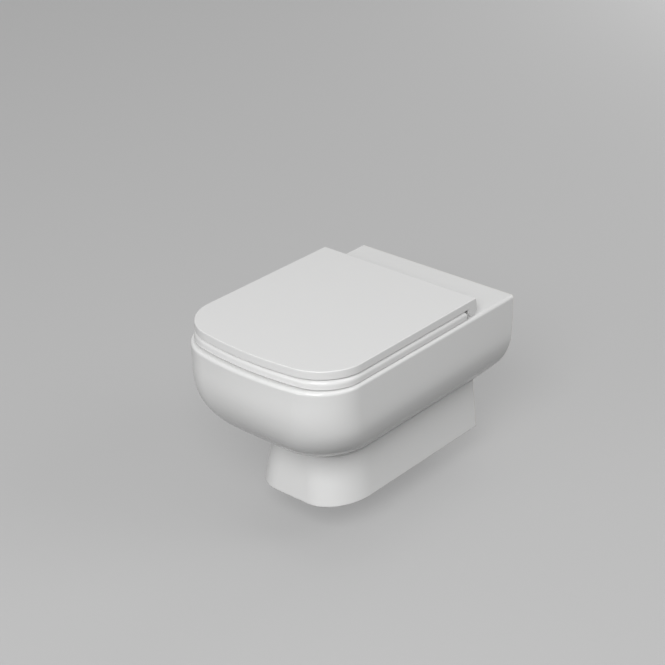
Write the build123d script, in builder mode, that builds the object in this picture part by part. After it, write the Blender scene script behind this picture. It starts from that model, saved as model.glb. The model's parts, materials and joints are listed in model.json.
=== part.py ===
import os
from math import cos, pi, radians, sqrt, tan

from build123d import *

# Frame: origin midway between the two wall studs, on the wall plane.
# +Z is up, -Y points at the person using it, +X is to the right seen from the front.

# Ceramic pan, outside
pan_width = 360.0
pan_front = 546.5
deck_top = 80.0
joint_level = -127.0
skirt_bottom = -226.0
skirt_half_width = 108.9
skirt_front = 424.3
skirt_side_draft = 7.07
skirt_front_draft = 6.5
skirt_corner_x = 69.5
skirt_corner_y = 95.4
top_corner = 75.0
corner_swell = 19.0
front_bow = 635.0
skirt_bow = 5000.0
side_radius = 118.0
side_slope = 46.0
front_radius = 138.5
front_slope = 32.6
body_stations = 13
deck_edge_radius = 6.0
crease_radius = 5.0
skirt_edge_radius = 2.5

# Ceramic pan, walls and inside
wall = 11.0
deck_thickness = 12.0
floor_lift = 6.0
back_thickness = 14.0
bowl_wall = 10.0
mouth_width = 236.0
mouth_length = 300.0
mouth_corner = 105.0
mouth_y = -355.0
mouth_edge_radius = 5.0
lip_depth = 24.0
channel_depth = 34.0
channel_reach = 13.0
sump_width = 76.0
sump_length = 92.0
sump_y = -290.0
bowl_taper = 1.15
sump_floor = -190.0
sump_radius = 16.0
bowl_stations = (0.0, 0.3, 0.6, 0.82, 1.0)
trap_bore = 30.0
trap_wall = 9.0
trap_bend = 41.0
trap_entry = (-300.0, -152.0)
trap_dip = (-245.0, -186.0)
trap_weir = (-150.0, -38.0)
trap_fall_y = -100.0

# Connections at the wall
stud_spacing = 180.0
flush_height = 35.0
waste_drop = 100.0
spigot_radius = 51.0
spigot_wall = 9.0
spigot_length = 54.0
spigot_recess = 4.0
spigot_cone = 17.0
connector_room = 13.0
inlet_socket_radius = 27.5
inlet_socket_depth = 45.0
inlet_bore = 22.5
inlet_wall = 9.0
seal_flange_radius = 32.0
seal_flange = 3.0
seal_length = 32.0
seal_bore = 22.55

# Wall fixings
stud_hole_radius = 11.0
boss_radius = 22.0
boss_length = 34.0
sleeve_bore = 6.5
sleeve_flange_radius = 17.0
sleeve_flange = 3.0
washer_radius = 16.0
washer_thickness = 2.5
nut_across_flats = 19.0
nut_height = 10.0
nut_bore = 6.05

# Seat and lid
seat_side_setback = 3.5
seat_front_setback = 10.5
seat_rear = 142.0
seat_corner = 67.0
seat_gap = 2.4
seat_thickness = 16.2
seat_wall = 6.0
seat_edge_radius = 9.0
seat_inner_edge_radius = 4.0
seat_mouth_width = 216.0
seat_mouth_length = 256.0
seat_mouth_corner = 96.0
lid_side_overhang = 0.4
lid_front_overhang = 2.0
lid_rear = 117.2
lid_corner = 75.0
lid_gap = 3.0
lid_height = 15.1
lid_plate = 4.7
lid_wall = 5.0
lid_back_wall = 3.5
lid_edge_radius = 1.8
ear_thickness = 4.5

# Hinge line
hinge_rise = 15.8
hinge_spacing = 155.0
barrel_radius = 8.2
hood_radius = 12.0
hood_overhang = 4.2
post_width = 18.0
stem_radius = 7.0
plate_length = 44.0
plate_width = 23.0
plate_thickness = 2.5
gasket_thickness = 0.8
pin_radius = 3.0
pin_inset = 2.0
pin_chamfer = 0.4
damper_radius = 6.0
damper_length = 40.0
damper_cap = 3.0
knuckle_width = 18.0
bolt_radius = 4.0
bolt_bite = 10.0
bolt_head_radius = 6.8
bolt_head = 4.0
bolt_chamfer = 1.0
plate_corner = 5.0
plug_radius = 7.0
plug_length = 34.0
plug_bulge = 8.8

# Buffers
buffer_radius = 8.0
buffer_setback = 34.5
buffer_rear_y = -235.0
buffer_front_y = -425.0
lid_buffer_height = 3.7
seat_buffer_height = 5.7
buffer_edge = 1.0

# Clearances
running = 0.04
press = 0.02
seated = 0.1
side_play = 0.4
touch_gap = 0.3
notch_gap = 1.4
pick = 1.0

# Derived places
pan_half_width = pan_width / 2
seat_half_width = pan_half_width - seat_side_setback
seat_front = pan_front - seat_front_setback
lid_half_width = seat_half_width + lid_side_overhang
lid_front = seat_front + lid_front_overhang
seat_bottom = deck_top + seat_gap
seat_top = seat_bottom + seat_thickness
seat_plate_underside = seat_top - seat_wall
lid_bottom = seat_top + lid_gap
lid_top = lid_bottom + lid_height
lid_plate_underside = lid_top - lid_plate
hinge_y = -lid_rear + hood_overhang - hood_radius
hinge_z = deck_top + hinge_rise
hinge_x = hinge_spacing / 2
post_foot = deck_top + gasket_thickness
post_inner = hinge_x - post_width / 2
post_outer = hinge_x + post_width / 2
damper_housing = damper_length + damper_cap
channel_top = deck_top - lip_depth
channel_floor = channel_top - channel_depth
cavity_top = deck_top - deck_thickness
cavity_foot = joint_level + floor_lift
trap_outside = trap_bore + trap_wall
spigot_end = -spigot_recess - spigot_length
cone_end = spigot_end - spigot_cone
seat_web = seat_rear + hinge_y + seat_wall / 2
hood_inside = hood_radius - lid_back_wall
lid_shoulder = lid_top - lid_edge_radius
buffer_x = seat_half_width - buffer_setback
buffer_places = [
    (side * buffer_x, y) for side in (-1, 1) for y in (buffer_rear_y, buffer_front_y)
]
quarter = 4 * (sqrt(2) - 1) / 3

os.makedirs("parts", exist_ok=True)


def finish(piece, name):
    piece.part.label = name
    export_step(piece.part, f"parts/{name}.step")


def reach_at(z, edge, foot, radius, slope):
    # A plumb wall, an arc of the given radius, then a straight slope to the foot
    incline = radians(slope)
    tangent = radius * tan((pi / 2 - incline) / 2)
    arc_top = joint_level + (edge - foot) * tan(incline) + tangent
    arc_bottom = arc_top - radius * cos(incline)
    if z >= arc_top:
        return edge
    if z >= arc_bottom:
        return edge - radius + sqrt(radius ** 2 - (arc_top - z) ** 2)
    return foot + (z - joint_level) / tan(incline)


def skirt_reach(z):
    rise = z - skirt_bottom
    half_width = skirt_half_width - rise * tan(radians(skirt_side_draft))
    front = skirt_front - rise * tan(radians(skirt_front_draft))
    return half_width, front


def plan(z, half_width, rear, front, corner_x, corner_y, bow):
    # A square back, straight sides, soft corners and a slightly bowed front
    shoulder = half_width - corner_x
    rise = sqrt(bow ** 2 - shoulder ** 2)
    slope = shoulder / rise
    arc_y = -front + bow - rise
    side_y = arc_y + slope * corner_x + corner_y
    with BuildSketch(Plane.XY.offset(z)) as outline:
        with BuildLine():
            Line((-half_width, -rear), (half_width, -rear))
            Line((half_width, -rear), (half_width, side_y))
            Bezier(
                (half_width, side_y),
                (half_width, side_y - quarter * corner_y),
                (shoulder + quarter * corner_x, arc_y + quarter * slope * corner_x),
                (shoulder, arc_y),
            )
            ThreePointArc((shoulder, arc_y), (0, -front), (-shoulder, arc_y))
            Bezier(
                (-shoulder, arc_y),
                (-shoulder - quarter * corner_x, arc_y + quarter * slope * corner_x),
                (-half_width, side_y - quarter * corner_y),
                (-half_width, side_y),
            )
            Line((-half_width, side_y), (-half_width, -rear))
        make_face()
    return outline.sketch


def body_section(z, level, inset, rear):
    # The body's plan at a level, drawn at height z and pulled in by the inset
    foot_x, foot_y = skirt_reach(joint_level)
    half_width = reach_at(level, pan_half_width, foot_x, side_radius, side_slope)
    front = reach_at(level, pan_front, foot_y, front_radius, front_slope)
    drop = (deck_top - level) / (deck_top - joint_level)
    swell = corner_swell * 4 * drop ** 2 * (1 - drop) - inset
    corner_x = top_corner + (skirt_corner_x - top_corner) * drop ** 4 + swell
    corner_y = top_corner + (skirt_corner_y - top_corner) * drop ** 4 + swell
    bow = front_bow + (skirt_bow - front_bow) * drop ** 4
    return plan(z, half_width - inset, rear, front - inset, corner_x, corner_y, bow)


def skirt_section(z, inset, rear):
    half_width, front = skirt_reach(z)
    corner_x = skirt_corner_x - inset
    corner_y = skirt_corner_y - inset
    return plan(z, half_width - inset, rear, front - inset, corner_x, corner_y, skirt_bow)


def levels(top, bottom, count):
    return [top + (bottom - top) * i / (count - 1) for i in range(count)]


def rounded_section(z, width, length, corner, y, grow):
    with BuildSketch(Plane.XY.offset(z)) as outline:
        with Locations((0, y)):
            RectangleRounded(width + 2 * grow, length + 2 * grow, corner + grow)
    return outline.sketch


def bowl_sections(grow):
    # The bowl's inside from under the flush channel down to the sump
    wide = mouth_width + channel_reach
    long = mouth_length + channel_reach
    sections = []
    for share in bowl_stations:
        narrowing = share ** bowl_taper
        width = wide + (sump_width - wide) * narrowing
        length = long + (sump_length - long) * narrowing
        y = mouth_y + (sump_y - mouth_y) * narrowing
        corner = width * mouth_corner / mouth_width
        z = channel_floor + (sump_floor - channel_floor) * share
        sections.append(rounded_section(z - grow, width, length, corner, y, grow))
    return sections


def hinge_plane(x):
    # Across the hinge line, facing +X
    return Plane(origin=(x, hinge_y, hinge_z), x_dir=(0, 1, 0), z_dir=(1, 0, 0))


def wall_plane(x, z, y=0.0):
    # Faces the user, for round features that run out from the wall
    return Plane(origin=(x, y, z), x_dir=(1, 0, 0), z_dir=(0, -1, 0))


def off_wall(edges):
    # All but the edges that lie on the wall plane
    return edges.filter_by(lambda e: e.center().Y < -pick)


def round_mouth(edges, width, length):
    # The edges of an opening centred on the bowl
    return edges.filter_by(
        lambda e: abs(e.center().X) < width / 2 + pick
        and abs(e.center().Y - mouth_y) < length / 2 + pick
    )


def hood_outline(radius, rear, top):
    # Round under the hinge line, leaning in to the lid's rear edge above it
    with BuildSketch() as outline:
        Circle(radius)
        with Locations((rear, top)):
            Rectangle(rear + radius, top, align=(Align.MAX, Align.MAX))
        make_hull()
    return outline.sketch


# Water space of the pan: bowl mouth, flush channel, bowl, trap and outlet
with BuildPart() as water:
    loft(bowl_sections(0))
    fillet(water.edges().group_by(Axis.Z)[0], sump_radius)
    extrude(
        rounded_section(
            channel_floor, mouth_width, mouth_length, mouth_corner, mouth_y, channel_reach
        ),
        amount=channel_depth,
    )
    extrude(
        rounded_section(channel_top, mouth_width, mouth_length, mouth_corner, mouth_y, 0),
        amount=lip_depth,
    )
    with BuildLine() as trap:
        FilletPolyline(
            (0, *trap_entry),
            (0, *trap_dip),
            (0, *trap_weir),
            (0, trap_fall_y, -waste_drop),
            (0, cone_end, -waste_drop),
            radius=trap_bend,
        )
    with BuildSketch(Plane(origin=trap.line @ 0, z_dir=trap.line % 0)):
        Circle(trap_bore)
    sweep(path=trap.line)
    with BuildSketch(wall_plane(0, -waste_drop, cone_end)):
        Circle(trap_bore)
    with BuildSketch(wall_plane(0, -waste_drop, spigot_end)):
        Circle(spigot_radius - spigot_wall)
    loft(ruled=True)
    with BuildSketch(wall_plane(0, -waste_drop)):
        Circle(spigot_radius - spigot_wall)
    extrude(amount=-spigot_end)
    with BuildSketch(wall_plane(0, flush_height)):
        Circle(inlet_bore)
    extrude(amount=-mouth_y - mouth_length / 2)

# Ceramic pan: one casting with a hollow body, an open skirt and thick seats for its fixings
with BuildPart() as pan:
    loft([body_section(z, z, 0, 0) for z in levels(deck_top, joint_level, body_stations)])
    loft([skirt_section(joint_level, 0, 0), skirt_section(skirt_bottom, 0, 0)], ruled=True)
    crease = pan.edges().filter_by_position(Axis.Z, joint_level - pick, joint_level + pick)
    fillet(off_wall(crease), crease_radius)
    fillet(off_wall(pan.edges().group_by(Axis.Z)[-1]), deck_edge_radius)
    fillet(off_wall(pan.edges().group_by(Axis.Z)[0]), skirt_edge_radius)
    loft(
        [
            body_section(z, z - floor_lift, wall, back_thickness)
            for z in levels(cavity_top, cavity_foot, body_stations)
        ],
        mode=Mode.SUBTRACT,
    )
    loft(
        [
            skirt_section(cavity_foot, wall, back_thickness),
            skirt_section(skirt_bottom, wall, back_thickness),
        ],
        ruled=True,
        mode=Mode.SUBTRACT,
    )
    with BuildSketch(wall_plane(0, -waste_drop)):
        Circle(spigot_radius + connector_room)
    extrude(amount=back_thickness, mode=Mode.SUBTRACT)
    extrude(
        rounded_section(
            channel_floor - bowl_wall,
            mouth_width,
            mouth_length,
            mouth_corner,
            mouth_y,
            channel_reach + bowl_wall,
        ),
        amount=cavity_top + bowl_wall - channel_floor,
    )
    loft(bowl_sections(bowl_wall))
    with BuildSketch(Plane(origin=trap.line @ 0, z_dir=trap.line % 0)):
        Circle(trap_outside)
    sweep(path=trap.line)
    with BuildSketch(wall_plane(0, -waste_drop, cone_end)):
        Circle(trap_outside)
    with BuildSketch(wall_plane(0, -waste_drop, spigot_end)):
        Circle(spigot_radius)
    loft(ruled=True)
    with BuildSketch(wall_plane(0, -waste_drop, -spigot_recess)):
        Circle(spigot_radius)
    extrude(amount=spigot_length)
    with BuildSketch(wall_plane(0, flush_height)):
        Circle(inlet_socket_radius + inlet_wall)
    extrude(amount=-mouth_y - mouth_length / 2)
    with BuildSketch(wall_plane(0, 0)):
        with GridLocations(stud_spacing, 0, 2, 1):
            Circle(boss_radius)
    extrude(amount=boss_length)
    add(water.part, mode=Mode.SUBTRACT)
    with BuildSketch(wall_plane(0, flush_height)):
        Circle(inlet_socket_radius)
    extrude(amount=inlet_socket_depth, mode=Mode.SUBTRACT)
    with BuildSketch(wall_plane(0, flush_height)):
        Circle(seal_flange_radius)
    extrude(amount=seal_flange, mode=Mode.SUBTRACT)
    with BuildSketch(wall_plane(0, 0)):
        with GridLocations(stud_spacing, 0, 2, 1):
            Circle(stud_hole_radius)
    extrude(amount=boss_length, mode=Mode.SUBTRACT)
    with BuildSketch(Plane.XY.offset(deck_top)):
        with Locations((0, hinge_y)):
            with GridLocations(hinge_spacing, 0, 2, 1):
                Circle(plug_radius + seated)
    extrude(amount=-deck_thickness - floor_lift, mode=Mode.SUBTRACT)
    rim = pan.edges().group_by(Axis.Z)[-1]
    fillet(round_mouth(rim, mouth_width, mouth_length), mouth_edge_radius)
finish(pan, "pan")

# Seat: a moulded ring, hollow underneath, with a knuckle on each side of the hinge line
with BuildPart() as seat:
    extrude(
        plan(
            seat_bottom,
            seat_half_width,
            seat_rear,
            seat_front,
            seat_corner,
            seat_corner,
            front_bow,
        ),
        amount=seat_thickness,
    )
    fillet(seat.edges().group_by(Axis.Z)[-1], seat_edge_radius)
    mouth = rounded_section(
        seat_bottom, seat_mouth_width, seat_mouth_length, seat_mouth_corner, mouth_y, 0
    )
    extrude(mouth, amount=seat_thickness, mode=Mode.SUBTRACT)
    rim = seat.edges().group_by(Axis.Z)[-1]
    fillet(round_mouth(rim, seat_mouth_width, seat_mouth_length), seat_inner_edge_radius)
    with BuildSketch(Plane.XY.offset(seat_bottom)):
        add(
            plan(
                0,
                seat_half_width - seat_wall,
                seat_rear + seat_wall,
                seat_front - seat_wall,
                seat_corner - seat_wall,
                seat_corner - seat_wall,
                front_bow,
            )
        )
        with Locations((0, mouth_y)):
            RectangleRounded(
                seat_mouth_width + 2 * seat_wall,
                seat_mouth_length + 2 * seat_wall,
                seat_mouth_corner + seat_wall,
                mode=Mode.SUBTRACT,
            )
    extrude(amount=seat_thickness - seat_wall, mode=Mode.SUBTRACT)
    with BuildSketch(Plane.XY.offset(seat_plate_underside)):
        with Locations(*buffer_places):
            Circle(buffer_radius)
    extrude(amount=-(seat_plate_underside - deck_top - touch_gap - seat_buffer_height))
    for side, reach in ((-1, knuckle_width), (1, damper_housing)):
        near = side * (post_inner - side_play)
        far = side * (post_inner - side_play - reach)
        with BuildSketch(hinge_plane(min(near, far))):
            Circle(barrel_radius)
            with Locations((0, seat_top - hinge_z)):
                Rectangle(
                    seat_web,
                    seat_top - hinge_z + barrel_radius,
                    align=(Align.MAX, Align.MAX),
                )
        extrude(amount=reach)
        with BuildSketch(hinge_plane(min(near, far))):
            Circle(pin_radius + running)
        extrude(amount=reach, mode=Mode.SUBTRACT)
    with BuildSketch(hinge_plane(post_inner - side_play - damper_length)):
        Circle(damper_radius + seated)
    extrude(amount=damper_length, mode=Mode.SUBTRACT)
finish(seat, "seat")

# Lid: a shallow tray over the seat, with a hooded back that wraps the hinge line
with BuildPart() as lid:
    extrude(
        plan(lid_bottom, lid_half_width, lid_rear, lid_front, lid_corner, lid_corner, front_bow),
        amount=lid_height,
    )
    fillet(lid.edges().group_by(Axis.Z)[-1], lid_edge_radius)
    extrude(
        plan(
            lid_bottom,
            lid_half_width - lid_wall,
            lid_rear - hood_overhang,
            lid_front - lid_wall,
            lid_corner - lid_wall,
            lid_corner - lid_wall,
            front_bow,
        ),
        amount=lid_height - lid_plate,
        mode=Mode.SUBTRACT,
    )
    with BuildSketch(Plane.XY.offset(lid_plate_underside)):
        with Locations(*buffer_places):
            Circle(buffer_radius)
    extrude(amount=-(lid_plate_underside - seat_top - touch_gap - lid_buffer_height))
    hood_rear = -lid_rear - hinge_y
    hood = hood_outline(hood_radius, hood_rear, lid_shoulder - hinge_z)
    with BuildSketch(hinge_plane(-lid_half_width)):
        add(hood)
        add(
            hood_outline(hood_inside, hood_rear - lid_back_wall, lid_plate_underside - hinge_z),
            mode=Mode.SUBTRACT,
        )
        with Locations((0, -hood_radius)):
            Rectangle(
                hood_radius,
                lid_shoulder - hinge_z + hood_radius,
                align=(Align.MIN, Align.MIN),
                mode=Mode.INTERSECT,
            )
    extrude(amount=2 * lid_half_width)
    for x in (-lid_half_width, lid_half_width - ear_thickness):
        with BuildSketch(hinge_plane(x)):
            add(hood)
        extrude(amount=ear_thickness)
    for side, reach in ((-1, damper_housing), (1, knuckle_width)):
        near = side * (post_outer + side_play)
        far = side * (post_outer + side_play + reach)
        with BuildSketch(hinge_plane(min(near, far))):
            Circle(hood_inside + seated)
            Rectangle(
                2 * barrel_radius, lid_plate_underside - hinge_z, align=(Align.CENTER, Align.MIN)
            )
        extrude(amount=reach)
        with BuildSketch(hinge_plane(min(near, far))):
            Circle(pin_radius + running)
        extrude(amount=reach, mode=Mode.SUBTRACT)
    with BuildSketch(hinge_plane(-post_outer - side_play - damper_length)):
        Circle(damper_radius + seated)
    extrude(amount=damper_length, mode=Mode.SUBTRACT)
    for x in (-hinge_x, hinge_x):
        with BuildSketch(hinge_plane(x - stem_radius - notch_gap)):
            with Locations((0, stem_radius + notch_gap)):
                Rectangle(
                    2 * (hood_radius + notch_gap),
                    hood_radius + stem_radius + 2 * notch_gap,
                    align=(Align.CENTER, Align.MAX),
                )
        extrude(amount=2 * (stem_radius + notch_gap), mode=Mode.SUBTRACT)
finish(lid, "lid")

# Hinges: a post on each side, held down through the deck, with its pin, gasket, bolt and plug
for side, hand in ((-1, "left"), (1, "right")):
    x = side * hinge_x
    with BuildPart() as post:
        with BuildSketch(Plane.XY.offset(post_foot)):
            with Locations((x, hinge_y)):
                RectangleRounded(plate_length, plate_width, plate_corner)
        extrude(amount=plate_thickness)
        with BuildSketch(Plane.XY.offset(post_foot)):
            with Locations((x, hinge_y)):
                Circle(stem_radius)
        extrude(amount=hinge_z - post_foot)
        with BuildSketch(hinge_plane(x - post_width / 2)):
            Circle(barrel_radius)
        extrude(amount=post_width)
        with BuildSketch(hinge_plane(x - post_width / 2)):
            Circle(pin_radius + press)
        extrude(amount=post_width, mode=Mode.SUBTRACT)
        with BuildSketch(Plane.XY.offset(post_foot)):
            with Locations((x, hinge_y)):
                Circle(bolt_radius + press)
        extrude(amount=bolt_bite, mode=Mode.SUBTRACT)
    finish(post, f"hinge_post_{hand}")

    with BuildPart() as gasket:
        with BuildSketch(Plane.XY.offset(deck_top)):
            with Locations((x, hinge_y)):
                RectangleRounded(plate_length, plate_width, plate_corner)
                Circle(bolt_radius + seated, mode=Mode.SUBTRACT)
        extrude(amount=gasket_thickness)
    finish(gasket, f"hinge_gasket_{hand}")

    with BuildPart() as bolt:
        with BuildSketch(Plane.XY.offset(post_foot + bolt_bite)):
            with Locations((x, hinge_y)):
                Circle(bolt_radius)
        extrude(amount=-(post_foot + bolt_bite - deck_top + plug_length))
        with BuildSketch(Plane.XY.offset(deck_top - plug_length)):
            with Locations((x, hinge_y)):
                Circle(bolt_head_radius)
        extrude(amount=-bolt_head)
        chamfer(bolt.edges().group_by(Axis.Z)[0], bolt_chamfer)
    finish(bolt, f"hinge_bolt_{hand}")

    with BuildPart() as plug:
        with BuildSketch(Plane(origin=(x, hinge_y, 0), x_dir=(1, 0, 0), z_dir=(0, -1, 0))):
            with BuildLine():
                Polyline(
                    (plug_radius, deck_top - deck_thickness - seated),
                    (plug_radius, deck_top),
                    (bolt_radius + seated, deck_top),
                    (bolt_radius + seated, deck_top - plug_length),
                    (plug_radius, deck_top - plug_length),
                )
                ThreePointArc(
                    (plug_radius, deck_top - plug_length),
                    (plug_bulge, deck_top - (deck_thickness + plug_length) / 2),
                    (plug_radius, deck_top - deck_thickness - seated),
                )
            make_face()
        revolve(axis=Axis((x, hinge_y, 0), (0, 0, 1)))
    finish(plug, f"hinge_plug_{hand}")

    seat_reach = knuckle_width if side < 0 else damper_length - pin_inset
    lid_reach = damper_length - pin_inset if side < 0 else knuckle_width
    pin_start = side * (post_inner - side_play - seat_reach)
    pin_end = side * (post_outer + side_play + lid_reach)
    with BuildPart() as pin:
        with BuildSketch(hinge_plane(min(pin_start, pin_end))):
            Circle(pin_radius)
        extrude(amount=abs(pin_end - pin_start))
        chamfer(pin.edges().filter_by(GeomType.CIRCLE), pin_chamfer)
    finish(pin, f"hinge_pin_{hand}")

# Soft-closing dampers: one turns with the lid, the other with the seat
for name, x in (
    ("lid_damper", -post_outer - side_play - damper_length),
    ("seat_damper", post_inner - side_play - damper_length),
):
    with BuildPart() as damper:
        with BuildSketch(hinge_plane(x)):
            Circle(damper_radius)
            Circle(pin_radius + running, mode=Mode.SUBTRACT)
        extrude(amount=damper_length)
    finish(damper, name)

# Buffers under the lid and under the seat
for name, z, height in (
    ("lid_buffers", seat_top + touch_gap, lid_buffer_height),
    ("seat_buffers", deck_top + touch_gap, seat_buffer_height),
):
    with BuildPart() as buffers:
        with BuildSketch(Plane.XY.offset(z)):
            with Locations(*buffer_places):
                Circle(buffer_radius)
        extrude(amount=height)
        fillet(buffers.edges().group_by(Axis.Z)[0], buffer_edge)
    finish(buffers, name)

# Wall fixings on the two studs: sleeve, washer and nut
washer_y = -boss_length - sleeve_flange
nut_y = washer_y - washer_thickness
for side, hand in ((-1, "left"), (1, "right")):
    x = side * stud_spacing / 2
    with BuildPart() as sleeve:
        with BuildSketch(wall_plane(x, 0)):
            Circle(stud_hole_radius - seated)
        extrude(amount=boss_length)
        with BuildSketch(wall_plane(x, 0, -boss_length)):
            Circle(sleeve_flange_radius)
        extrude(amount=sleeve_flange)
        with BuildSketch(wall_plane(x, 0)):
            Circle(sleeve_bore)
        extrude(amount=boss_length + sleeve_flange, mode=Mode.SUBTRACT)
    finish(sleeve, f"wall_sleeve_{hand}")

    with BuildPart() as washer:
        with BuildSketch(wall_plane(x, 0, washer_y)):
            Circle(washer_radius)
            Circle(sleeve_bore, mode=Mode.SUBTRACT)
        extrude(amount=washer_thickness)
    finish(washer, f"wall_washer_{hand}")

    with BuildPart() as nut:
        with BuildSketch(wall_plane(x, 0, nut_y)):
            RegularPolygon(nut_across_flats / 2, 6, major_radius=False)
            Circle(nut_bore, mode=Mode.SUBTRACT)
        extrude(amount=nut_height)
    finish(nut, f"wall_nut_{hand}")

# Rubber seal for the flush pipe, pressed into the inlet
with BuildPart() as seal:
    with BuildSketch(wall_plane(0, flush_height)):
        Circle(seal_flange_radius - seated)
    extrude(amount=seal_flange - touch_gap)
    with BuildSketch(wall_plane(0, flush_height)):
        Circle(inlet_socket_radius - seated)
    extrude(amount=seal_length)
    with BuildSketch(wall_plane(0, flush_height)):
        Circle(seal_bore)
    extrude(amount=seal_length, mode=Mode.SUBTRACT)
finish(seal, "flush_seal")
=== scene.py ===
# Wall hung toilet: surfaces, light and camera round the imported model. Metres, +Z up, wall at y = 0.
import json
import math

import bpy
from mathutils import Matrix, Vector


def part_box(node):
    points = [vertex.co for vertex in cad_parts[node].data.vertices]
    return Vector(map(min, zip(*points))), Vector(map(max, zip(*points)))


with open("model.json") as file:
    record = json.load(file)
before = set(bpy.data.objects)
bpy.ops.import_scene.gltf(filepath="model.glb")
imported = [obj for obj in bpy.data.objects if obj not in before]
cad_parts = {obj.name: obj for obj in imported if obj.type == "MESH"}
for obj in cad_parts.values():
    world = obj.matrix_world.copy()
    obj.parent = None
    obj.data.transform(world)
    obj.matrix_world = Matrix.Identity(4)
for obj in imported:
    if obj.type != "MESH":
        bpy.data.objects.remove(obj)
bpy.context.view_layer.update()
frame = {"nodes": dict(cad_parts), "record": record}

scene = bpy.context.scene
nodes = frame["nodes"]
print("packed model loaded:", len(nodes), "nodes")


# Small helpers for node trees

def newGroup(name, inputs, outputs):
    group = bpy.data.node_groups.new(name, "ShaderNodeTree")
    for label, kind, value in inputs:
        socket = group.interface.new_socket(label, in_out="INPUT", socket_type=kind)
        socket.default_value = value
    for label, kind in outputs:
        group.interface.new_socket(label, in_out="OUTPUT", socket_type=kind)
    entry = group.nodes.new("NodeGroupInput")
    leave = group.nodes.new("NodeGroupOutput")
    return group, entry, leave


def addNode(tree, kind, **settings):
    node = tree.nodes.new(kind)
    for key, value in settings.items():
        setattr(node, key, value)
    return node


def join(tree, source, target):
    tree.links.new(source, target)


def mathNode(tree, operation, first, second=None, third=None):
    node = addNode(tree, "ShaderNodeMath", operation=operation)
    for index, value in enumerate((first, second, third)):
        if value is None:
            continue
        if isinstance(value, (int, float)):
            node.inputs[index].default_value = value
        else:
            join(tree, value, node.inputs[index])
    return node.outputs[0]


def noiseNode(tree, vector, scale, detail=2.0, roughness=0.5):
    node = addNode(tree, "ShaderNodeTexNoise")
    node.inputs["Detail"].default_value = detail
    node.inputs["Roughness"].default_value = roughness
    if isinstance(scale, (int, float)):
        node.inputs["Scale"].default_value = scale
    else:
        join(tree, scale, node.inputs["Scale"])
    join(tree, vector, node.inputs["Vector"])
    return node.outputs["Fac"]


def spread(tree, value, low, high):
    # Maps 0..1 to low..high
    node = addNode(tree, "ShaderNodeMapRange")
    join(tree, value, node.inputs["Value"])
    for label, bound in (("To Min", low), ("To Max", high)):
        if isinstance(bound, (int, float)):
            node.inputs[label].default_value = bound
        else:
            join(tree, bound, node.inputs[label])
    return node.outputs["Result"]


# A Mix node has a row of sockets for each kind of value; these are the ones in use
mixSockets = {
    "RGBA": {"amount": 0, "first": 6, "second": 7, "result": 2},
    "FLOAT": {"amount": 0, "first": 2, "second": 3, "result": 0},
}


def mixValues(tree, kind, amount, first, second):
    node = addNode(tree, "ShaderNodeMix", data_type=kind)
    sockets = mixSockets[kind]
    for label, value in (("amount", amount), ("first", first), ("second", second)):
        index = sockets[label]
        if isinstance(value, (int, float)):
            node.inputs[index].default_value = value
        elif isinstance(value, tuple):
            node.inputs[index].default_value = (*value, 1.0)
        else:
            join(tree, value, node.inputs[index])
    return node.outputs[sockets["result"]]


def place(tree):
    return addNode(tree, "ShaderNodeTexCoord").outputs["Object"]


# Surface effects that several materials share

waveDetail = {"wave": 1.0, "ripple": 2.0}


def makeSurfaceWaves():
    # Long soft waves with a finer ripple on them, as height in metres
    group, entry, leave = newGroup(
        "Surface Waves",
        [
            ("Wave Scale", "NodeSocketFloat", 40.0),
            ("Wave Height", "NodeSocketFloat", 0.00002),
            ("Ripple Scale", "NodeSocketFloat", 300.0),
            ("Ripple Height", "NodeSocketFloat", 0.000002),
        ],
        [("Height", "NodeSocketFloat")],
    )
    where = place(group)
    wave = noiseNode(group, where, entry.outputs["Wave Scale"], waveDetail["wave"])
    ripple = noiseNode(group, where, entry.outputs["Ripple Scale"], waveDetail["ripple"])
    tall = mathNode(group, "MULTIPLY", wave, entry.outputs["Wave Height"])
    fine = mathNode(group, "MULTIPLY", ripple, entry.outputs["Ripple Height"])
    join(group, mathNode(group, "ADD", tall, fine), leave.inputs["Height"])
    return group


driftLook = {
    "driftDetail": 3.0,
    "speckleDetail": 4.0,
    "speckleRoughness": 0.7,
    "speckleShare": 0.45,  # of the roughness; the slow drift gives the rest
}


def makeToneDrift():
    # Two near shades that drift into each other, and a roughness that drifts with them
    group, entry, leave = newGroup(
        "Tone Drift",
        [
            ("Shade A", "NodeSocketColor", (0.8, 0.8, 0.8, 1.0)),
            ("Shade B", "NodeSocketColor", (0.78, 0.78, 0.78, 1.0)),
            ("Drift Scale", "NodeSocketFloat", 5.0),
            ("Smoothest", "NodeSocketFloat", 0.1),
            ("Roughest", "NodeSocketFloat", 0.2),
            ("Speckle Scale", "NodeSocketFloat", 220.0),
        ],
        [("Color", "NodeSocketColor"), ("Roughness", "NodeSocketFloat")],
    )
    look = driftLook
    where = place(group)
    drift = noiseNode(group, where, entry.outputs["Drift Scale"], look["driftDetail"])
    speckle = noiseNode(group, where, entry.outputs["Speckle Scale"], look["speckleDetail"],
                        look["speckleRoughness"])
    tone = mixValues(group, "RGBA", drift, entry.outputs["Shade A"], entry.outputs["Shade B"])
    join(group, tone, leave.inputs["Color"])
    slow = mathNode(group, "MULTIPLY", drift, 1.0 - look["speckleShare"])
    both = mathNode(group, "MULTIPLY_ADD", speckle, look["speckleShare"], slow)
    rough = spread(group, both, entry.outputs["Smoothest"], entry.outputs["Roughest"])
    join(group, rough, leave.inputs["Roughness"])
    return group


edgeWander = {"scale": 60.0, "detail": 3.0}


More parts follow.
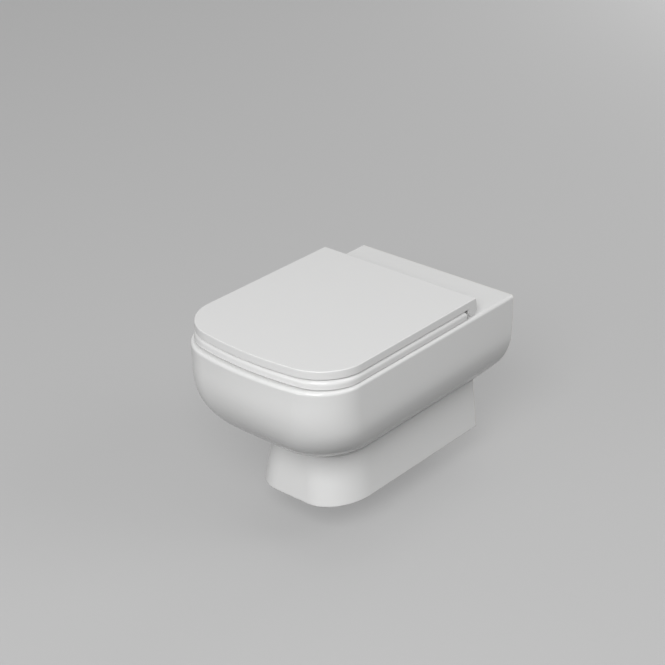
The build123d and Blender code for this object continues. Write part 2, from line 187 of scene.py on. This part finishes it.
def makeBandMask():
    # 1 where one coordinate is past a limit, with a slightly uneven edge
    group, entry, leave = newGroup(
        "Band Mask",
        [
            ("Direction", "NodeSocketVector", (0.0, 0.0, 1.0)),
            ("Limit", "NodeSocketFloat", 0.0),
            ("Softness", "NodeSocketFloat", 0.0005),
            ("Unevenness", "NodeSocketFloat", 0.0005),
        ],
        [("Mask", "NodeSocketFloat")],
    )
    where = place(group)
    along = addNode(group, "ShaderNodeVectorMath", operation="DOT_PRODUCT")
    join(group, where, along.inputs[0])
    join(group, entry.outputs["Direction"], along.inputs[1])
    noise = noiseNode(group, where, edgeWander["scale"], edgeWander["detail"])
    wander = mathNode(group, "SUBTRACT", noise, 0.5)  # to both sides of the limit
    uneven = mathNode(group, "MULTIPLY", wander, entry.outputs["Unevenness"])
    height = mathNode(group, "ADD", along.outputs["Value"], uneven)
    past = mathNode(group, "SUBTRACT", height, entry.outputs["Limit"])
    share = mathNode(group, "DIVIDE", past, entry.outputs["Softness"])
    clamp = addNode(group, "ShaderNodeClamp")
    join(group, share, clamp.inputs["Value"])
    join(group, clamp.outputs[0], leave.inputs["Mask"])
    return group


lineDetail = {"detail": 4.0, "roughness": 0.6}


def makeDrawnLines():
    # Fine parallel scratches along one axis, from noise squeezed across it
    group, entry, leave = newGroup(
        "Drawn Lines",
        [
            ("Squeeze", "NodeSocketVector", (1.0, 40.0, 40.0)),
            ("Scale", "NodeSocketFloat", 60.0),
            ("Depth", "NodeSocketFloat", 0.00001),
        ],
        [("Height", "NodeSocketFloat"), ("Mask", "NodeSocketFloat")],
    )
    stretch = addNode(group, "ShaderNodeVectorMath", operation="MULTIPLY")
    join(group, place(group), stretch.inputs[0])
    join(group, entry.outputs["Squeeze"], stretch.inputs[1])
    lines = noiseNode(group, stretch.outputs["Vector"], entry.outputs["Scale"],
                      lineDetail["detail"], lineDetail["roughness"])
    join(group, mathNode(group, "MULTIPLY", lines, entry.outputs["Depth"]), leave.inputs["Height"])
    join(group, lines, leave.inputs["Mask"])
    return group


surfaceWaves = makeSurfaceWaves()
toneDrift = makeToneDrift()
bandMask = makeBandMask()
drawnLines = makeDrawnLines()
print("surface effects ready")


# Materials

def startMaterial(name):
    material = bpy.data.materials.new(name)
    material.use_nodes = True
    tree = material.node_tree
    return material, tree, tree.nodes["Principled BSDF"]


def useGroup(tree, group, values):
    node = addNode(tree, "ShaderNodeGroup", node_tree=group)
    for label, value in values.items():
        node.inputs[label].default_value = value
    return node


def bumpFrom(tree, height, shader, strength=1.0):
    # Heights are in metres
    bump = addNode(tree, "ShaderNodeBump")
    bump.inputs["Distance"].default_value = 1.0
    bump.inputs["Strength"].default_value = strength
    join(tree, height, bump.inputs["Height"])
    join(tree, bump.outputs["Normal"], shader.inputs["Normal"])
    return bump


chinaLook = {
    "shadeA": (0.815, 0.815, 0.808, 1.0),
    "shadeB": (0.795, 0.796, 0.792, 1.0),
    "driftScale": 4.0,
    "smoothest": 0.12,
    "roughest": 0.2,
    "speckleScale": 220.0,
    "waveScale": 26.0,
    "waveHeight": 0.00005,
    "rippleScale": 190.0,
    "rippleHeight": 0.0000022,
    "bareClay": (0.69, 0.655, 0.59),
    "bareRoughness": 0.82,
    "bareDepth": 0.0007,
    "glazeEdge": 0.0002,
    "glazeWander": 0.0004,
    "bareGrain": 0.00006,
    "grainScale": 900.0,
}


def makeChina():
    look = chinaLook
    material, tree, shader = startMaterial("glazedChina")
    tone = useGroup(tree, toneDrift, {
        "Shade A": look["shadeA"], "Shade B": look["shadeB"], "Drift Scale": look["driftScale"],
        "Smoothest": look["smoothest"], "Roughest": look["roughest"],
        "Speckle Scale": look["speckleScale"],
    })
    low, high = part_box("pan")
    wallBand = useGroup(tree, bandMask, {
        "Direction": (0.0, 1.0, 0.0), "Limit": high.y - look["bareDepth"],
        "Softness": look["glazeEdge"], "Unevenness": look["glazeWander"],
    })
    footBand = useGroup(tree, bandMask, {
        "Direction": (0.0, 0.0, -1.0), "Limit": -low.z - look["bareDepth"],
        "Softness": look["glazeEdge"], "Unevenness": look["glazeWander"],
    })
    bare = mathNode(tree, "MAXIMUM", wallBand.outputs["Mask"], footBand.outputs["Mask"])
    color = mixValues(tree, "RGBA", bare, tone.outputs["Color"], look["bareClay"])
    join(tree, color, shader.inputs["Base Color"])
    rough = mixValues(tree, "FLOAT", bare, tone.outputs["Roughness"], look["bareRoughness"])
    join(tree, rough, shader.inputs["Roughness"])
    waves = useGroup(tree, surfaceWaves, {
        "Wave Scale": look["waveScale"], "Wave Height": look["waveHeight"],
        "Ripple Scale": look["rippleScale"], "Ripple Height": look["rippleHeight"],
    })
    grain = mathNode(tree, "MULTIPLY", noiseNode(tree, place(tree), look["grainScale"], 3.0), bare)
    height = mathNode(tree, "MULTIPLY_ADD", grain, look["bareGrain"], waves.outputs["Height"])
    bumpFrom(tree, height, shader)
    return material


def makeMoulded(name, look):
    # Moulded plastics, resins and rubbers
    material, tree, shader = startMaterial(name)
    tone = useGroup(tree, toneDrift, {
        "Shade A": look["shadeA"], "Shade B": look["shadeB"], "Drift Scale": look["driftScale"],
        "Smoothest": look["smoothest"], "Roughest": look["roughest"],
        "Speckle Scale": look["speckleScale"],
    })
    join(tree, tone.outputs["Color"], shader.inputs["Base Color"])
    join(tree, tone.outputs["Roughness"], shader.inputs["Roughness"])
    shader.inputs["IOR"].default_value = look["ior"]
    waves = useGroup(tree, surfaceWaves, {
        "Wave Scale": look["waveScale"], "Wave Height": look["waveHeight"],
        "Ripple Scale": look["rippleScale"], "Ripple Height": look["rippleHeight"],
    })
    bumpFrom(tree, waves.outputs["Height"], shader)
    return material


def makeMetal(name, look):
    material, tree, shader = startMaterial(name)
    tone = useGroup(tree, toneDrift, {
        "Shade A": look["shadeA"], "Shade B": look["shadeB"], "Drift Scale": look["driftScale"],
        "Smoothest": look["smoothest"], "Roughest": look["roughest"],
        "Speckle Scale": look["speckleScale"],
    })
    lines = useGroup(tree, drawnLines, {
        "Squeeze": look["squeeze"], "Scale": look["lineScale"], "Depth": look["lineDepth"],
    })
    shader.inputs["Metallic"].default_value = 1.0
    join(tree, tone.outputs["Color"], shader.inputs["Base Color"])
    streaked = mathNode(tree, "MULTIPLY_ADD", lines.outputs["Mask"], look["lineRoughness"],
                        tone.outputs["Roughness"])
    join(tree, streaked, shader.inputs["Roughness"])
    bumpFrom(tree, lines.outputs["Height"], shader)
    return material


resinLook = {
    "shadeA": (0.815, 0.815, 0.81, 1.0), "shadeB": (0.8, 0.8, 0.796, 1.0), "driftScale": 6.0,
    "smoothest": 0.2, "roughest": 0.28, "speckleScale": 500.0, "ior": 1.5,
    "waveScale": 14.0, "waveHeight": 0.00003, "rippleScale": 600.0, "rippleHeight": 0.0000012,
}
acetalLook = {
    "shadeA": (0.6, 0.6, 0.59, 1.0), "shadeB": (0.56, 0.56, 0.55, 1.0), "driftScale": 40.0,
    "smoothest": 0.38, "roughest": 0.5, "speckleScale": 900.0, "ior": 1.48,
    "waveScale": 60.0, "waveHeight": 0.00001, "rippleScale": 1800.0, "rippleHeight": 0.000005,
}
gasketLook = {
    "shadeA": (0.7, 0.71, 0.71, 1.0), "shadeB": (0.66, 0.67, 0.67, 1.0), "driftScale": 50.0,
    "smoothest": 0.3, "roughest": 0.42, "speckleScale": 900.0, "ior": 1.45,
    "waveScale": 80.0, "waveHeight": 0.00001, "rippleScale": 1500.0, "rippleHeight": 0.000004,
}
sleeveLook = {
    "shadeA": (0.5, 0.52, 0.55, 1.0), "shadeB": (0.45, 0.47, 0.5, 1.0), "driftScale": 30.0,
    "smoothest": 0.42, "roughest": 0.56, "speckleScale": 700.0, "ior": 1.48,
    "waveScale": 60.0, "waveHeight": 0.00001, "rippleScale": 1600.0, "rippleHeight": 0.000008,
}
bufferLook = {
    "shadeA": (0.62, 0.62, 0.61, 1.0), "shadeB": (0.57, 0.57, 0.56, 1.0), "driftScale": 60.0,
    "smoothest": 0.5, "roughest": 0.65, "speckleScale": 800.0, "ior": 1.42,
    "waveScale": 90.0, "waveHeight": 0.00001, "rippleScale": 1400.0, "rippleHeight": 0.000008,
}
blackRubberLook = {
    "shadeA": (0.018, 0.018, 0.019, 1.0), "shadeB": (0.03, 0.03, 0.031, 1.0), "driftScale": 50.0,
    "smoothest": 0.55, "roughest": 0.72, "speckleScale": 700.0, "ior": 1.5,
    "waveScale": 70.0, "waveHeight": 0.00002, "rippleScale": 1300.0, "rippleHeight": 0.00001,
}
chromeLook = {
    "shadeA": (0.74, 0.745, 0.76, 1.0), "shadeB": (0.7, 0.705, 0.72, 1.0), "driftScale": 40.0,
    "smoothest": 0.05, "roughest": 0.11, "speckleScale": 400.0,
    "squeeze": (20.0, 20.0, 1.0), "lineScale": 40.0, "lineDepth": 0.000001, "lineRoughness": 0.03,
}
groundSteelLook = {
    "shadeA": (0.52, 0.52, 0.53, 1.0), "shadeB": (0.46, 0.46, 0.47, 1.0), "driftScale": 60.0,
    "smoothest": 0.18, "roughest": 0.28, "speckleScale": 600.0,
    "squeeze": (40.0, 1.0, 1.0), "lineScale": 60.0, "lineDepth": 0.000004, "lineRoughness": 0.1,
}
turnedSteelLook = {
    "shadeA": (0.5, 0.5, 0.505, 1.0), "shadeB": (0.42, 0.42, 0.43, 1.0), "driftScale": 50.0,
    "smoothest": 0.24, "roughest": 0.38, "speckleScale": 500.0,
    "squeeze": (3.0, 60.0, 3.0), "lineScale": 40.0, "lineDepth": 0.000008, "lineRoughness": 0.12,
}

materials = {
    "glazed_china": makeChina(),
    "seat_resin": makeMoulded("seatResin", resinLook),
    "damper_housing": makeMoulded("acetal", acetalLook),
    "gasket_plastic": makeMoulded("gasketSheet", gasketLook),
    "sleeve_plastic": makeMoulded("sleevePlastic", sleeveLook),
    "buffer_rubber": makeMoulded("softBuffer", bufferLook),
    "plug_rubber": makeMoulded("plugRubber", blackRubberLook),
    "seal_rubber": makeMoulded("sealRubber", blackRubberLook),
    "hinge_chrome": makeMetal("hingeChrome", chromeLook),
    "pin_steel": makeMetal("groundSteel", groundSteelLook),
    "bolt_steel": makeMetal("turnedSteel", turnedSteelLook),
}
print("materials ready:", len(materials))


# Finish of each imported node

def dress(piece, slotName):
    piece.data.materials.clear()
    piece.data.materials.append(materials[slotName])


for part in frame["record"]["subparts"]:
    dress(nodes[part["node"]], part["material_slot"])
print("nodes dressed")


# Floor, light and camera

stageLook = {
    "floorHeight": -0.32,
    "floorSize": 24.0,
    "floorSeen": (0.33, 0.33, 0.33),
    "floorGlow": (0.23, 0.23, 0.23),  # seen directly and in mirrors, lights nothing
    "noGlow": (0.0, 0.0, 0.0),
    "floorBounce": (0.05, 0.05, 0.05),
    "floorRoughness": 0.9,
    "floorShine": 0.1,
    "worldSeen": 1.0,
    "worldLight": 0.27,
}


def seenRays(tree):
    # 1 for rays from the camera, a mirror or glass, 0 for light that bounces off dull surfaces
    rays = addNode(tree, "ShaderNodeLightPath")
    direct = mathNode(tree, "MAXIMUM", rays.outputs["Is Camera Ray"], rays.outputs["Is Glossy Ray"])
    return mathNode(tree, "MAXIMUM", direct, rays.outputs["Is Transmission Ray"])


def makeFloor():
    look = stageLook
    mesh = bpy.data.meshes.new("floor")
    half = look["floorSize"] / 2
    corners = [(-half, -half), (half, -half), (half, half), (-half, half)]
    mesh.from_pydata([(x, y, look["floorHeight"]) for x, y in corners], [], [(0, 1, 2, 3)])
    floor = bpy.data.objects.new("floor", mesh)
    scene.collection.objects.link(floor)
    material, tree, shader = startMaterial("paleFloor")
    seen = seenRays(tree)
    color = mixValues(tree, "RGBA", seen, look["floorBounce"], look["floorSeen"])
    join(tree, color, shader.inputs["Base Color"])
    glow = mixValues(tree, "RGBA", seen, look["noGlow"], look["floorGlow"])
    join(tree, glow, shader.inputs["Emission Color"])
    shader.inputs["Emission Strength"].default_value = 1.0
    shader.inputs["Roughness"].default_value = look["floorRoughness"]
    shader.inputs["Specular IOR Level"].default_value = look["floorShine"]
    mesh.materials.append(material)


def makeWorld():
    look = stageLook
    world = bpy.data.worlds.new("studio")
    scene.world = world
    world.use_nodes = True
    tree = world.node_tree
    background = tree.nodes["Background"]
    background.inputs["Color"].default_value = (1.0, 1.0, 1.0, 1.0)
    strength = spread(tree, seenRays(tree), look["worldLight"], look["worldSeen"])
    join(tree, strength, background.inputs["Strength"])


lampRoom = {
    "aim": (0.0, -0.25, -0.05),
    "distance": 5.0,
}
lamps = {
    "keyLamp": {"turn": 30.0, "rise": 36.0, "size": 2.0, "watts": 161.0},
    "sideLamp": {"turn": 110.0, "rise": 38.0, "size": 2.6, "watts": 42.0},
    "frontLamp": {"turn": -10.0, "rise": 12.0, "size": 2.4, "watts": 36.0},
    "backLamp": {"turn": 185.0, "rise": 6.0, "size": 1.6, "watts": 70.0},
}


def makeLamps():
    # Turn is counted from straight in front towards the right, rise from level
    aim = Vector(lampRoom["aim"])
    for name, look in lamps.items():
        turn, rise = math.radians(look["turn"]), math.radians(look["rise"])
        level = lampRoom["distance"] * math.cos(rise)
        away = Vector((math.sin(turn) * level, -math.cos(turn) * level,
                       lampRoom["distance"] * math.sin(rise)))
        data = bpy.data.lights.new(name, "AREA")
        data.shape = "SQUARE"
        data.size = look["size"]
        data.energy = look["watts"]
        lamp = bpy.data.objects.new(name, data)
        lamp.location = aim + away
        lamp.rotation_mode = "QUATERNION"
        lamp.rotation_quaternion = (-away).to_track_quat("-Z", "Y")
        scene.collection.objects.link(lamp)


cameraLook = {
    "lens": 93.66,
    "sensor": 36.0,
    "place": (1.7692, -2.4282, 1.4642),
    "target": (-0.0473, -0.25, 0.0261),
}


def makeCamera():
    look = cameraLook
    data = bpy.data.cameras.new("camera")
    data.lens = look["lens"]
    data.sensor_width = look["sensor"]
    camera = bpy.data.objects.new("camera", data)
    camera.location = look["place"]
    camera.rotation_mode = "QUATERNION"
    camera.rotation_quaternion = (Vector(look["target"]) - camera.location).to_track_quat("-Z", "Y")
    scene.collection.objects.link(camera)
    scene.camera = camera


makeFloor()
makeWorld()
makeLamps()
makeCamera()
scene.view_settings.view_transform = "Standard"
print("stage ready")
